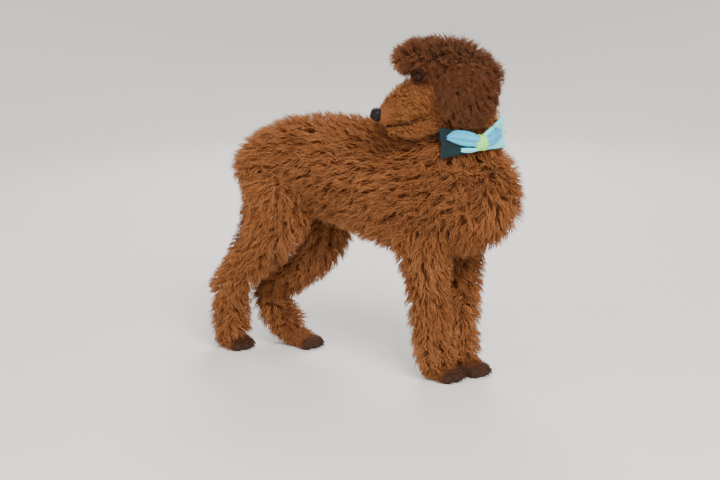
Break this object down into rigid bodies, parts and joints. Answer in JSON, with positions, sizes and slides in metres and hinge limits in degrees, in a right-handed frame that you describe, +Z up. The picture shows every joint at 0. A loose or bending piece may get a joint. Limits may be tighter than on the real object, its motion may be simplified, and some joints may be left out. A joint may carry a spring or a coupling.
{
  "type": "standard poodle",
  "caption": "Life-size still model of a young standard poodle standing and looking back over its shoulder, with a wavy coat, long hanging ears, a collar and a bow tie.",
  "frame": {"origin": "on the floor under the middle of the dog, halfway between its most distant points in plan", "axes": "+X to the front of the body, +Y to its left, +Z up; the head is turned back over the right shoulder"},
  "size_m": [0.6687, 0.2391, 0.6194],
  "materials": {
    "coat": "soft wavy coat of rust-red apricot hair",
    "ear_coat": "longer, redder wavy hair",
    "paw_coat": "short dark brown hair",
    "nose_skin": "moist, finely pebbled black skin",
    "eye": "dark brown, wet gloss",
    "strap": "flat woven webbing, dark",
    "bow_cloth": "smooth satin weave, light blue",
    "knot_cloth": "smooth satin weave, pale yellowish green"
  },
  "bodies": {
    "root": {"muzzle": "coat", "lower_jaw": "coat", "head": "coat", "neck": "coat", "tail_root": "coat", "tail_tip": "coat", "loin": "coat", "chest": "coat", "rump": "coat", "foreleg_left": "coat", "thigh_left": "coat", "shank_left": "coat", "metatarsus_left": "coat", "foreleg_right": "coat", "thigh_right": "coat", "shank_right": "coat", "metatarsus_right": "coat", "ear_left": "ear_coat", "forepaw_left": "paw_coat", "hindpaw_left": "paw_coat", "eye_left": "eye", "bow_wing_left": "bow_cloth", "ear_right": "ear_coat", "forepaw_right": "paw_coat", "hindpaw_right": "paw_coat", "eye_right": "eye", "bow_wing_right": "bow_cloth", "nose": "nose_skin", "collar": "strap", "bow_knot": "knot_cloth"}
  },
  "joints": []
}
